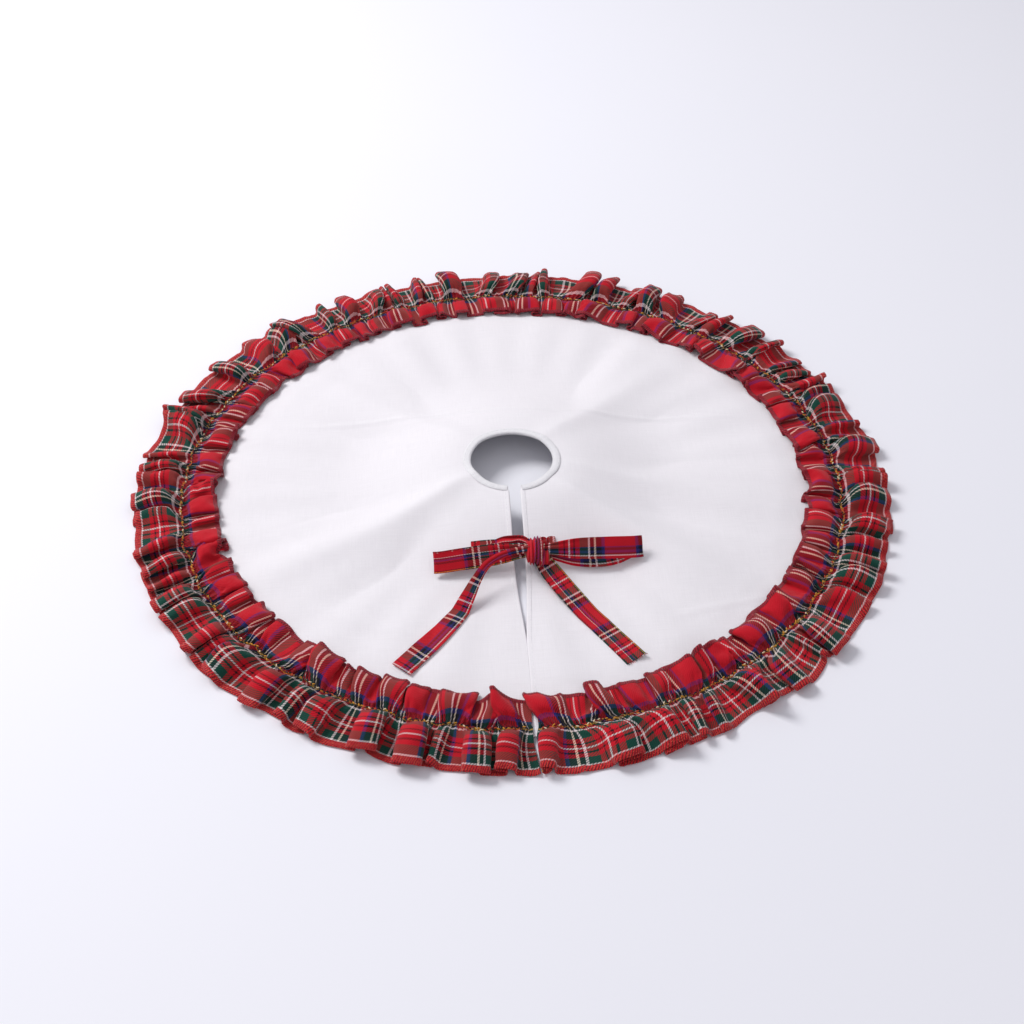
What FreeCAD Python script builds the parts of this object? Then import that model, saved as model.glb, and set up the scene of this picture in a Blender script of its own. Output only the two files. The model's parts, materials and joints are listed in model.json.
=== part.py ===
"""Round tree skirt: a white cloth disc with a trunk opening and a front slit, a gathered tartan ruffle
sewn round its rim, and two ribbon ties knotted in a bow across the slit.

Frame: millimetres, +Z up, origin on the floor at the centre of the trunk opening. The slit runs to the
front, along -Y. Front angles are measured from -Y, positive towards +X.
Each sewn piece is its own solid. The cloth disc rises to a low tent round the trunk, so the flat layers
are cut from one revolved profile. The two front corners beside the slit fold up about their fold lines.
"""

import FreeCAD
import Part
import math
import os

Vector = FreeCAD.Vector

# Whole object
OUTER_RADIUS = 457.2                       # a 36 inch skirt
RUFFLE_INNER_RADIUS = 355.0
GATHER_RADIUS = 399.0                      # the line where the ruffle is gathered and sewn down
TRUNK_RADIUS = 50.0                        # the bound trunk opening
PANEL_RADIUS = GATHER_RADIUS + 8.0

# Low tent round the trunk
TENT_HEIGHT = 34.0
TENT_TOP_RADIUS = TRUNK_RADIUS + 12.0
TENT_FOOT_RADIUS = 215.0

# Stack of cloth layers, as heights over the tent profile
LINING = (0.0, 0.8)
PANEL = (0.9, 1.8)
HEM = (1.9, 2.6)
TIE_ROOT = (2.8, 3.8)
TIE_STITCH = (3.9, 4.5)
CUT_CLEARANCE = 0.5

# Slit
SLIT_HALF_GAP_TOP = 8.0
SLIT_HALF_GAP_FOOT = 1.5
SLIT_FOOT_RADIUS = 300.0
SLIT_HEM_WIDTH = 6.0
OUTER_HEM_WIDTH = 12.0

# Front corners fold about a line from the slit to the rim, level with the top of the ruffle
FOLD_START = 328.0
FOLD_SLANT = math.radians(4.0)

# Ruffle
PLEATS = 64
SHEET = 1.0
RUFFLE_BASE = 2.9
RUFFLE_FLOOR = 0.4
GATHER_WAVE = 0.8                          # half height of the folds at the gathering and the two edges
INNER_WAVE = 7.0
OUTER_WAVE = 7.6
WAVE_COLUMNS = 6                           # control columns across one fold
GATHER_RISE = 5.0                          # the folds stay low this far from the gathering
EDGE_BAND = 5.0                            # overlocked thread edging
EDGE_EXTRA = 0.5                           # how much thicker it is than the cloth
SEAM_GAP = 0.4
STRIP_ENDS = (110.0, 250.0)                # front angles of the seams between the back strips
GATHER_CORD = (6.8, 8.0)                   # its lowest and highest level

# Bow
RIBBON = 25.0
RIBBON_THICK = 1.1
KNOT = Vector(18.0, -156.0, 0.0)
KNOT_SIZE = Vector(22.0, 28.0, 13.0)
KNOT_LOW = 21.0
LOOP_RADIUS = 4.5                          # half the thickness of a flattened loop
LOOP_START = 14.0                          # distance of the loops and the left tail from the knot's centre
LOOP_LOW_START = 23.4
LOOP_LOW_TIP = 17.5
LOOP_PINCH = 7.5
LOOP_FULL = 55.0
TAIL_OVER_LOOP = 31.2
TAIL_ON_PANEL = 3.0
LEFT_LOOP_TIP = Vector(-107.0, -165.0, 0.0)
RIGHT_LOOP_TIP = Vector(137.0, -145.0, 0.0)
LEFT_BEND = Vector(-54.0, -172.0, 0.0)     # the left tail crosses its loop, then turns down here
LEFT_TAIL_TIP = Vector(-133.0, -315.0, 0.0)
RIGHT_TAIL_START = Vector(24.0, -168.0, 0.0)
RIGHT_TAIL_TIP = Vector(122.0, -306.0, 0.0)

HIGH = 60.0
FAR = 620.0


# ---------------------------------------------------------------- plain helpers

def tent(radius):
    """Height of the tent profile over the floor."""
    if radius <= TENT_TOP_RADIUS:
        return TENT_HEIGHT
    if radius >= TENT_FOOT_RADIUS:
        return 0.0
    return TENT_HEIGHT * (TENT_FOOT_RADIUS - radius) / (TENT_FOOT_RADIUS - TENT_TOP_RADIUS)


def layer(inner, outer, heights):
    """A full ring of cloth between two radii, lying on the tent profile."""
    low, high = heights
    radii = [inner]
    radii += [r for r in (TENT_TOP_RADIUS, TENT_FOOT_RADIUS) if inner < r < outer]
    radii.append(outer)
    outline = [Vector(r, 0, tent(r) + low) for r in radii]
    outline += [Vector(r, 0, tent(r) + high) for r in reversed(radii)]
    outline.append(outline[0])
    return Part.Face(Part.makePolygon(outline)).revolve(Vector(0, 0, 0), Vector(0, 0, 1), 360)


def prism(plan, low=-5.0, high=HIGH):
    """A straight column over a plan outline."""
    outline = [Vector(x, y, low) for x, y in plan]
    outline.append(outline[0])
    return Part.Face(Part.makePolygon(outline)).extrude(Vector(0, 0, high - low))


def rectangle(x_low, x_high, y_low, y_high):
    return [(x_low, y_low), (x_high, y_low), (x_high, y_high), (x_low, y_high)]


def slit_edge(inset, side):
    """Plan points of one slit edge from the trunk opening to the rim, moved away from the slit by inset."""
    top = side * (SLIT_HALF_GAP_TOP + inset)
    foot = side * (SLIT_HALF_GAP_FOOT + inset)
    return [(top, -30.0), (top, -TRUNK_RADIUS), (foot, -SLIT_FOOT_RADIUS), (foot, -FAR)]


def slit_prism():
    return prism(slit_edge(0.0, -1) + slit_edge(0.0, 1)[::-1])


def corner_prism(side, back=0.0):
    """Everything in front of one fold line, on its side of the slit, moved back by a clearance."""
    reach = FAR
    start = -FOLD_START + back
    end = (side * reach * math.cos(FOLD_SLANT), start - reach * math.sin(FOLD_SLANT))
    return prism([(0.0, start), end, (end[0], -2 * FAR), (0.0, -2 * FAR)])


def fold_angle(radius, back=0.0):
    """Front angle at which a fold line crosses a radius."""
    distance = FOLD_START * math.cos(FOLD_SLANT) - back
    return math.acos(distance / radius) - FOLD_SLANT


def three_way(shape):
    """One cloth ring, slit and divided into its main part and its left and right corners."""
    slit = shape.cut(slit_prism())
    left = slit.common(corner_prism(-1))
    right = slit.common(corner_prism(1))
    main = slit.cut(corner_prism(-1, CUT_CLEARANCE)).cut(corner_prism(1, CUT_CLEARANCE))
    return {"main": main, "left_corner": left, "right_corner": right}


def clean(shape):
    """The solids of a shape, as one solid or a group."""
    solids = shape.Solids
    return solids[0] if len(solids) == 1 else Part.makeCompound(solids)


# ---------------------------------------------------------------- cloth disc

def cloth_disc():
    parts = {}
    for name, heights in (("panel", PANEL), ("lining", LINING)):
        for place, shape in three_way(layer(TRUNK_RADIUS + 1.0, PANEL_RADIUS, heights)).items():
            parts[name + "_" + place] = shape
    return parts


def trunk_binding():
    """The tape folded over the edge of the trunk opening, a U in section."""
    tape = 0.7
    low = TENT_HEIGHT - 1.0
    high = TENT_HEIGHT + PANEL[1] + 1.0
    wide = TRUNK_RADIUS + 9.0
    web = TRUNK_RADIUS + 0.8
    outline = [
        (TRUNK_RADIUS, low), (wide, low), (wide, low + tape), (web, low + tape),
        (web, high - tape), (wide, high - tape), (wide, high), (TRUNK_RADIUS, high),
    ]
    points = [Vector(r, 0, z) for r, z in outline]
    points.append(points[0])
    ring = Part.Face(Part.makePolygon(points)).revolve(Vector(0, 0, 0), Vector(0, 0, 1), 360)
    return ring.cut(slit_prism())


def hems():
    """The turned hems beside the slit, and the hem under the ruffle."""
    parts = {}
    outer = layer(PANEL_RADIUS - OUTER_HEM_WIDTH, PANEL_RADIUS, HEM)
    strips = layer(TRUNK_RADIUS + 10.0, PANEL_RADIUS, HEM)
    for side, name in ((-1, "left"), (1, "right")):
        band = prism(slit_edge(0.5, side) + slit_edge(SLIT_HEM_WIDTH, side)[::-1])
        wide = prism(slit_edge(-3.0, side) + slit_edge(SLIT_HEM_WIDTH + 0.5, side)[::-1])
        strip = strips.common(band)
        outer = outer.cut(wide)
        parts["slit_hem_%s_upper" % name] = strip.cut(corner_prism(side, CUT_CLEARANCE))
        parts["slit_hem_%s_lower" % name] = strip.common(corner_prism(side))
    for place, shape in three_way(outer).items():
        parts["outer_hem_" + place] = shape
    return parts


# ---------------------------------------------------------------- ruffle

def ruffle_wave(radius):
    """Half height of the folds: small at the gathering, full at the two free edges."""
    if radius < GATHER_RADIUS:
        share = (GATHER_RADIUS - radius) / (GATHER_RADIUS - RUFFLE_INNER_RADIUS)
        edge = INNER_WAVE
    else:
        share = (radius - GATHER_RADIUS) / (OUTER_RADIUS - GATHER_RADIUS)
        edge = OUTER_WAVE
    return GATHER_WAVE + (edge - GATHER_WAVE) * share


def ruffle_base(radius):
    """Lowest height of the ruffle: over the hems, then down to the floor outside the panel."""
    start = PANEL_RADIUS + 6.0
    if radius <= start:
        return RUFFLE_BASE
    share = (radius - start) / (OUTER_RADIUS - start)
    return RUFFLE_BASE + (RUFFLE_FLOOR - RUFFLE_BASE) * share


def ruffle_height(angle, radius):
    """Height of the underside of the ruffle at a front angle and radius."""
    turn = PLEATS * angle + 0.9 * math.sin(5 * angle + 1.0) + 0.5 * math.sin(13 * angle)
    lift = 0.5 - 0.5 * math.cos(turn)
    return ruffle_base(radius) + 2 * ruffle_wave(radius) * lift


def wavy_surface(radii, start, end, columns, offset):
    """A smooth surface over the folds, between two end curves given as front angles by radius."""
    poles = []
    for i in range(columns):
        share = i / (columns - 1)
        row = []
        for radius in radii:
            angle = start(radius) + share * (end(radius) - start(radius))
            z = ruffle_height(angle, radius) + offset
            row.append(Vector(radius * math.sin(angle), -radius * math.cos(angle), z))
        poles.append(row)
    surface = Part.BSplineSurface()
    u_knots, u_mults = clamped_knots(columns, 3)
    v_degree = min(3, len(radii) - 1)
    v_knots, v_mults = clamped_knots(len(radii), v_degree)
    surface.buildFromPolesMultsKnots(poles, u_mults, v_mults, u_knots, v_knots, False, False, 3, v_degree)
    return surface


def clamped_knots(count, degree):
    """Even knots for a clamped curve with a number of control points."""
    knots = list(range(count - degree + 1))
    mults = [degree + 1] + [1] * (len(knots) - 2) + [degree + 1]
    return knots, mults


def wavy_sheet(radii, start, end, thickness):
    """A closed wavy sheet of even thickness."""
    span = abs(end(radii[-1]) - start(radii[-1]))
    columns = math.ceil(span * PLEATS / (2 * math.pi) * WAVE_COLUMNS) + 3
    under = wavy_surface(radii, start, end, columns, 0.0)
    over = wavy_surface(radii, start, end, columns, thickness)
    faces = [under.toShape(), over.toShape()]
    u_low, u_high, v_low, v_high = under.bounds()
    for u in (u_low, u_high):
        faces.append(Part.makeRuledSurface(under.uIso(u).toShape(), over.uIso(u).toShape()))
    for v in (v_low, v_high):
        faces.append(Part.makeRuledSurface(under.vIso(v).toShape(), over.vIso(v).toShape()))
    shell = Part.makeShell(faces)
    shell.sewShape()
    solid = Part.Solid(shell)
    if solid.Volume < 0:
        solid.reverse()
    return solid


def spread(low, high, count):
    return [low + (high - low) * i / (count - 1) for i in range(count)]


def at_slit(side):
    return lambda radius: side * math.asin((SLIT_HALF_GAP_FOOT + 0.5) / radius)


def at_fold(side, back):
    return lambda radius: side * fold_angle(radius, back)


def at_seam(degrees, side):
    return lambda radius: math.radians(degrees) + side * 0.5 * SEAM_GAP / radius


def back_at_fold(radius):
    return 2 * math.pi - fold_angle(radius, CUT_CLEARANCE)


def ruffle_strips():
    """Strip name to its two end curves, going round from the slit."""
    first, second = STRIP_ENDS
    return {
        "front_right": (at_slit(1), at_fold(1, 0.0)),
        "right": (at_fold(1, CUT_CLEARANCE), at_seam(first, -1)),
        "back": (at_seam(first, 1), at_seam(second, -1)),
        "left": (at_seam(second, 1), back_at_fold),
        "front_left": (at_fold(-1, 0.0), at_slit(-1)),
    }


def ruffle():
    """The gathered strips, and the overlocked thread along both of their free edges."""
    cloth_low = RUFFLE_INNER_RADIUS + EDGE_BAND + SEAM_GAP
    cloth_high = OUTER_RADIUS - EDGE_BAND - SEAM_GAP
    cloth = spread(cloth_low, GATHER_RADIUS - GATHER_RISE, 3)
    cloth += [GATHER_RADIUS]
    cloth += spread(GATHER_RADIUS + GATHER_RISE, cloth_high, 4)
    edges = {
        "inner": spread(RUFFLE_INNER_RADIUS, RUFFLE_INNER_RADIUS + EDGE_BAND, 3),
        "outer": spread(OUTER_RADIUS - EDGE_BAND, OUTER_RADIUS, 3),
    }
    parts = {}
    bands = {}
    for name, (start, end) in ruffle_strips().items():
        parts["ruffle_" + name] = wavy_sheet(cloth, start, end, SHEET)
        place = name if name.startswith("front") else "main"
        for edge, radii in edges.items():
            band = wavy_sheet(radii, start, end, SHEET + EDGE_EXTRA)
            bands.setdefault("overlock_%s_%s" % (edge, place), []).append(band)
    for name, group in bands.items():
        parts[name] = Part.makeCompound(group)
    return parts


def gather_stitching():
    """The raised stitching that holds the gathers down, a thin ring over the ruffle."""
    low, high = GATHER_CORD
    half = 0.8
    outline = [Vector(GATHER_RADIUS + r, 0, z) for r, z in
               ((-half, low), (half, low), (half, high), (-half, high), (-half, low))]
    ring = Part.Face(Part.makePolygon(outline)).revolve(Vector(0, 0, 0), Vector(0, 0, 1), 360)
    return {"gather_stitch_" + place: shape for place, shape in three_way(ring).items()}


# ---------------------------------------------------------------- bow

def placed(shape, origin, towards):
    """Turns a shape made along +X so that it starts at origin and points at towards."""
    direction = towards - origin
    degrees = math.degrees(math.atan2(direction.y, direction.x))
    shape.rotate(Vector(0, 0, 0), Vector(0, 0, 1), degrees)
    shape.translate(Vector(origin.x, origin.y, 0))
    return shape


def racetrack(start, end, radius):
    """A closed face round two equal circles in the XZ plane."""
    along = (end - start).normalize()
    normal = Vector(-along.z, 0, along.x)
    a, b = start + normal * radius, start - normal * radius
    c, d = end - normal * radius, end + normal * radius
    edges = [
        Part.Arc(a, start - along * radius, b).toShape(), Part.LineSegment(b, c).toShape(),
        Part.Arc(c, end + along * radius, d).toShape(), Part.LineSegment(d, a).toShape(),
    ]
    return Part.Face(Part.Wire(edges))


def bow_loop(tip):
    """A flattened ribbon loop, pinched in where it enters the knot."""
    length = (tip - KNOT).Length
    start = Vector(LOOP_START + LOOP_RADIUS, 0, LOOP_LOW_START + LOOP_RADIUS)
    end = Vector(length - LOOP_RADIUS, 0, LOOP_LOW_TIP + LOOP_RADIUS)
    band = racetrack(start, end, LOOP_RADIUS).cut(racetrack(start, end, LOOP_RADIUS - RIBBON_THICK))
    band.translate(Vector(0, -RIBBON / 2, 0))
    solid = band.extrude(Vector(0, RIBBON, 0))
    half = RIBBON / 2
    beyond = length + RIBBON
    plan = [(0, -LOOP_PINCH), (LOOP_START, -LOOP_PINCH), (LOOP_FULL, -half), (beyond, -half),
            (beyond, half), (LOOP_FULL, half), (LOOP_START, LOOP_PINCH), (0, LOOP_PINCH)]
    return placed(clean(solid.common(prism(plan))), KNOT, tip)


def ribbon(profile, width):
    """A flat ribbon along +X whose underside follows (distance, height) points."""
    outline = [Vector(s, -width / 2, z) for s, z in profile]
    outline += [Vector(s, -width / 2, z + RIBBON_THICK) for s, z in reversed(profile)]
    outline.append(outline[0])
    return Part.Face(Part.makePolygon(outline)).extrude(Vector(0, width, 0))


def left_tail():
    """The left tail crosses over the left loop, turns down at the bend and runs forward on the panel."""
    start = LOOP_LOW_START + 2 * LOOP_RADIUS + 1.3
    bend = (LEFT_BEND - KNOT).Length
    reach = (LEFT_TAIL_TIP - LEFT_BEND).Length
    upper_profile = [(LOOP_START, start), (bend - 12.0, TAIL_OVER_LOOP), (bend, TAIL_OVER_LOOP)]
    upper = ribbon(upper_profile, 2 * LOOP_PINCH)
    lower = ribbon([(-8.0, TAIL_OVER_LOOP), (38.0, TAIL_OVER_LOOP), (78.0, TAIL_ON_PANEL),
                    (reach, TAIL_ON_PANEL)], RIBBON)
    joined = placed(upper, KNOT, LEFT_BEND).fuse(placed(lower, LEFT_BEND, LEFT_TAIL_TIP))
    return joined.removeSplitter()


def right_tail():
    """The right tail drops from under the knot to the panel."""
    reach = (RIGHT_TAIL_TIP - RIGHT_TAIL_START).Length
    profile = [(0.0, 19.0), (22.0, 12.5), (60.0, TAIL_ON_PANEL), (reach, TAIL_ON_PANEL)]
    return placed(ribbon(profile, RIBBON), RIGHT_TAIL_START, RIGHT_TAIL_TIP)


def knot():
    corner = Vector(KNOT.x - KNOT_SIZE.x / 2, KNOT.y - KNOT_SIZE.y / 2, KNOT_LOW)
    block = Part.makeBox(KNOT_SIZE.x, KNOT_SIZE.y, KNOT_SIZE.z, corner)
    return block.makeFillet(4.0, block.Edges)


def bow():
    return {
        "bow_knot": knot(),
        "bow_loop_left": bow_loop(LEFT_LOOP_TIP),
        "bow_loop_right": bow_loop(RIGHT_LOOP_TIP),
        "bow_tail_left": left_tail(),
        "bow_tail_right": right_tail(),
    }


def tie_roots():
    """The sewn ends of the two ties, lying on the panel beside the slit, and the stitches through them."""
    knot_left = KNOT.x - KNOT_SIZE.x / 2 - 0.5
    knot_right = KNOT.x + KNOT_SIZE.x / 2 + 0.5
    left = rectangle(-55.0, knot_left, -130.0 - RIBBON, -130.0)
    right = rectangle(knot_right, 46.0, -126.0 - RIBBON, -126.0)
    ribbons = layer(TRUNK_RADIUS + 20.0, TENT_FOOT_RADIUS + 10.0, TIE_ROOT)
    threads = layer(TRUNK_RADIUS + 20.0, TENT_FOOT_RADIUS + 10.0, TIE_STITCH)
    parts = {
        "tie_root_left": ribbons.common(prism(left)),
        "tie_root_right": ribbons.common(prism(right)),
    }
    for name, x in (("left", -50.0), ("right", 42.0)):
        top = -133.0 if name == "left" else -129.0
        bars = [prism(rectangle(x + step, x + step + 1.5, top - RIBBON + 6.0, top)) for step in (0.0, -3.5)]
        parts["tie_stitch_" + name] = Part.makeCompound([threads.common(bar) for bar in bars])
    return parts


# ---------------------------------------------------------------- export

def build():
    parts = {}
    parts.update(cloth_disc())
    parts["trunk_binding"] = trunk_binding()
    parts.update(hems())
    parts.update(ruffle())
    parts.update(gather_stitching())
    parts.update(bow())
    parts.update(tie_roots())
    return parts


def main():
    os.makedirs("parts", exist_ok=True)
    for old in os.listdir("parts"):
        os.remove(os.path.join("parts", old))
    for name, shape in sorted(build().items()):
        solid = clean(shape)
        if not solid.isValid() or solid.Volume <= 0:
            raise ValueError("%s is not a valid closed solid" % name)
        solid.exportStep(os.path.join("parts", name + ".step"))
        print("%-28s %2d solid(s) %10.0f mm3" % (name, len(solid.Solids), solid.Volume))


main()
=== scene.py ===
"""The looks of a round tree skirt: a white linen-look disc, a gathered tartan ruffle round its rim, and a
tartan ribbon bow across the slit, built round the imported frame.

Shapes are worked out in millimetres and become metres as they turn into meshes. Front angles are measured
from -Y, positive towards +X. Every mesh carries its cloth coordinates, along and across the cloth in
millimetres, in the attribute "cloth", and the woven patterns are drawn from them.
"""

import json
import math

import bpy
import numpy as np
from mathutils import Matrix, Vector


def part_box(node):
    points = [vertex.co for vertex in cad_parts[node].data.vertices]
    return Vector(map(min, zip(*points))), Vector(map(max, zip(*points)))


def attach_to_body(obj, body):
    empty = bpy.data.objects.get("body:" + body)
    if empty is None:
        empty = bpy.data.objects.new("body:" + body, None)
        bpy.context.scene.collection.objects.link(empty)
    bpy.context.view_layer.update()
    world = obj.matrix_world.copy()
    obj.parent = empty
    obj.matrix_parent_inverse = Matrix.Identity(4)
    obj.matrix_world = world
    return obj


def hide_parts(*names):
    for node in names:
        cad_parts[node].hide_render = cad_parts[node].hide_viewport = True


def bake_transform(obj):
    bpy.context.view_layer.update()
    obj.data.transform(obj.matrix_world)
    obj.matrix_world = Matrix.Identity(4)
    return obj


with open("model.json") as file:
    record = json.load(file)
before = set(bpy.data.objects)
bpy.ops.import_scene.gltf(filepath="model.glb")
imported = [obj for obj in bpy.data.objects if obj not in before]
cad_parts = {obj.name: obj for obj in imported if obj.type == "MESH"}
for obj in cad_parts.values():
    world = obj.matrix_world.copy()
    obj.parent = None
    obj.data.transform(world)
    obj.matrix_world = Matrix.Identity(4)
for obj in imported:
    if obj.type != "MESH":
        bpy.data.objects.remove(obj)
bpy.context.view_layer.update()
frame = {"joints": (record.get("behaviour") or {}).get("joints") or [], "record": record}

MM = 0.001
TAU = 2 * math.pi


# ---------------------------------------------------------------- sizes, from the frame

def box_mm(node):
    low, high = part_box(node)
    return np.array(low) / MM, np.array(high) / MM


def joint(name):
    return next(j for j in frame["joints"] if j["name"] == name)


def mount(name):
    return next(m for m in frame["record"]["mounts"] if m["name"] == name)


HOLE = mount("trunk_opening")["dims"]["r_mm"]
CLOTH = 0.9                                # thickness of the panel, the lining and the ruffle
TAPE = 1.3                                 # thickness of a ribbon, which is folded double
PANEL_LIFT = 1.35                          # mid-plane of the panel over the lining's underside
LINING_LIFT = 0.45
LINING_THICK = 0.8
TENT = box_mm("lining_main")[1][2] - LINING_THICK
TENT_TOP = HOLE + 8.0
TENT_FOOT = 228.0
PANEL_RADIUS = box_mm("panel_main")[1][0]
INNER_BAND = 4.6                           # widths of the overlocked edgings
OUTER_BAND = 6.5
INNER = box_mm("overlock_inner_main")[1][0] - 5.0
GATHER_CORD_HALF = 0.8
GATHER = box_mm("gather_stitch_main")[1][0] - GATHER_CORD_HALF
KNOT_LOW, KNOT_HIGH = box_mm("bow_knot")
KNOT = (KNOT_LOW + KNOT_HIGH) / 2
RIBBON = 25.0
HEM = box_mm("slit_hem_right_lower")
HEM_WIDTH = 5.2
PANEL_TOP = PANEL_LIFT + CLOTH / 2         # top of the panel over the lining's underside
# Half the slit's width: where it is closed, what it opens by, and the radii between which it narrows
SLIT_CLOSED, SLIT_OPENING = 0.5, 7.0
SLIT_OPEN_RADIUS, SLIT_TAPER = 150, 145
SEWING_GAP = 3.1                           # spacing of the stitches along the slit

# The camera, in metres and degrees, and the lamps: place, size and power
LENS, LENS_SHIFT = 53.1, 0.0003
CAMERA_TURN, CAMERA_DROP = 3.5, 41.58
CAMERA_AWAY, CAMERA_HEIGHT = 1.411, 1.202
KEY_LAMP = ((-2.3, 1.5, 2.9), 1.6, 118.0)
FILL_LAMP = ((0.4, -2.4, 2.6), 2.4, 7.0)
SKY_COLOUR, SKY_STRENGTH = (0.94, 0.94, 1.0, 1.0), 0.50
FLOOR_REACH = 6.0


# ---------------------------------------------------------------- numbers and curves

def smooth(t):
    t = np.clip(t, 0.0, 1.0)
    return t * t * (3 - 2 * t)


def bump(t):
    return np.exp(-t * t)


def wander(seed, waves, size, x):
    """A smooth random curve over x in 0..1 that closes on itself, between -size and size."""
    random = np.random.default_rng(seed)
    total = sum(random.uniform(0.5, 1) * np.sin(TAU * (n * x + random.random())) for n in waves)
    return total / np.abs(total).max() * size


def refine(grid, factor, axis):
    """A smooth curve through the points of a grid along one axis, with factor steps between two points."""
    grid = np.moveaxis(grid, axis, 0)
    count = grid.shape[0]
    place = np.linspace(0, count - 1, (count - 1) * factor + 1)
    k = np.minimum(place.astype(int), count - 2)
    t = (place - k).reshape((-1,) + (1,) * (grid.ndim - 1))
    before, a, b, after = (grid[np.clip(k + step, 0, count - 1)] for step in (-1, 0, 1, 2))
    cubic = 3 * (a - b) + after - before
    fine = a + 0.5 * t * (b - before + t * (2 * before - 5 * a + 4 * b - after + t * cubic))
    return np.moveaxis(fine, 0, axis)


def resample(points, step):
    """Points at even steps along a smooth curve through rows of a table, whose first columns are x, y, z."""
    fine = refine(np.array(points, float), 24, 0)
    length = np.concatenate([[0], np.cumsum(np.linalg.norm(np.diff(fine[:, :3], axis=0), axis=1))])
    count = max(3, int(round(length[-1] / step)) + 1)
    at = np.linspace(0, length[-1], count)
    columns = [np.interp(at, length, fine[:, k]) for k in range(fine.shape[1])]
    return np.stack(columns, -1), at


def unit(a):
    return a / np.maximum(np.linalg.norm(a, axis=-1, keepdims=True), 1e-9)


def upright(count):
    """Directions that point straight up."""
    return np.tile([0.0, 0.0, 1.0], (count, 1))


def normals(grid):
    """Unit normals of a grid whose first axis runs along the cloth and second across it."""
    along = np.gradient(grid[..., :3], axis=0)
    across = np.gradient(grid[..., :3], axis=1)
    return unit(np.cross(across, along))


# ---------------------------------------------------------------- meshes

def make_piece(name, points, faces, cloth, material, sharp_degrees=55):
    """A mesh object from millimetre points, with its cloth coordinates."""
    mesh = bpy.data.meshes.new(name)
    mesh.from_pydata((points * MM).tolist(), [], faces)
    mesh.update()
    attribute = mesh.attributes.new("cloth", "FLOAT_VECTOR", "POINT")
    attribute.data.foreach_set("vector", np.ascontiguousarray(cloth, np.float32).ravel())
    mesh.polygons.foreach_set("use_smooth", np.ones(len(mesh.polygons), bool))
    mesh.set_sharp_from_angle(angle=math.radians(sharp_degrees))
    mesh.materials.append(material)
    piece = bpy.data.objects.new(name, mesh)
    bpy.context.scene.collection.objects.link(piece)
    return piece


def attach(piece, body, slot, *nodes):
    """A piece rides on a body, and the CAD nodes it stands for are hidden; slot is not used."""
    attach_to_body(piece, body)
    if nodes:
        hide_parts(*nodes)


def grid_faces(count_along, count_across, closed=False):
    index = np.arange(count_along * count_across).reshape(count_along, count_across)
    if closed:
        index = np.concatenate([index, index[:, :1]], axis=1)
    return np.stack([index[:-1, :-1], index[:-1, 1:], index[1:, 1:], index[1:, :-1]], -1).reshape(-1, 4)


def shell(name, grid, thickness, material):
    """A closed sheet of cloth round a grid of (x, y, z, along, across)."""
    count_along, count_across = grid.shape[:2]
    offset = normals(grid) * thickness / 2
    over = (grid[..., :3] + offset).reshape(-1, 3)
    under = (grid[..., :3] - offset).reshape(-1, 3)
    count = len(over)
    top = grid_faces(count_along, count_across)
    index = np.arange(count).reshape(count_along, count_across)
    rim = np.concatenate([index[0, :-1], index[:-1, -1], index[-1, :0:-1], index[:0:-1, 0]])
    after = np.roll(rim, -1)
    sides = np.stack([rim, rim + count, after + count, after], -1)
    faces = np.concatenate([top, top[:, ::-1] + count, sides]).tolist()
    cloth = np.zeros((count, 3))
    cloth[:, :2] = grid[..., 3:5].reshape(-1, 2)
    return make_piece(name, np.concatenate([over, under]), faces, np.concatenate([cloth, cloth]), material)


def tube(name, rings, cloth, material, sharp_degrees=55):
    """A closed skin over rings of points, with flat ends. rings has shape (count, points, 3)."""
    count, around = rings.shape[:2]
    faces = grid_faces(count, around, closed=True).tolist()
    faces.append(list(range(around)))
    faces.append(list(range(count * around - 1, (count - 1) * around - 1, -1)))
    return make_piece(name, rings.reshape(-1, 3), faces, cloth.reshape(-1, 3), material, sharp_degrees)


def stitches(name, centres, directions, ups, length, radius, material, seed=1):
    """A row of sewn stitches, each a small rounded bar. Every stitch has its own random number in cloth z."""
    random = np.random.default_rng(seed)
    stations = np.array([-0.5, -0.42, -0.2, 0.2, 0.42, 0.5]) * length
    sizes = np.array([0.35, 0.8, 1.0, 1.0, 0.8, 0.35]) * radius
    around = 6
    turn = np.arange(around) * TAU / around
    directions = unit(directions)
    sideways = unit(np.cross(ups, directions))
    ups = np.cross(directions, sideways)
    points, faces, cloth = [], [], []
    pattern = grid_faces(len(stations), around, closed=True)
    for k, centre in enumerate(centres):
        first = k * len(stations) * around
        for station, size in zip(stations, sizes):
            ring = centre + directions[k] * station
            circle = np.outer(np.cos(turn), sideways[k]) + np.outer(np.sin(turn), ups[k])
            points.append(ring + size * circle)
        faces += (pattern + first).tolist()
        faces.append(list(range(first, first + around)))
        last = first + (len(stations) - 1) * around
        faces.append(list(range(last + around - 1, last - 1, -1)))
        cloth.append(np.tile([k * length, 0.0, random.random()], (len(stations) * around, 1)))
    return make_piece(name, np.concatenate(points), faces, np.concatenate(cloth), material)


# ---------------------------------------------------------------- materials

RED, GREEN, BLACK, NAVY = (202, 15, 36), (14, 70, 58), (12, 12, 20), (42, 40, 112)
GOLD, PALE, CREAM = (236, 180, 74), (238, 218, 196), (238, 224, 224)


def sett(line):
    """The tartan's yarns over one repeat, as colour and number. line is the colour of one narrow line."""
    half = [(RED, 5), (BLACK, 3), (RED, 7), (GREEN, 13), (CREAM, 3), (BLACK, 6), (line, 3), (BLACK, 9),
            (NAVY, 5)]
    return [(CREAM, 2)] + half + [(RED, 48)] + half[::-1]


WARP, WEFT = sett(PALE), sett(GOLD)
SETT_ALONG, SETT_ACROSS = 118.0, 114.0
GOLD_LINE = 119.5 / 158                    # where the second gold line lies in the sett
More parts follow.
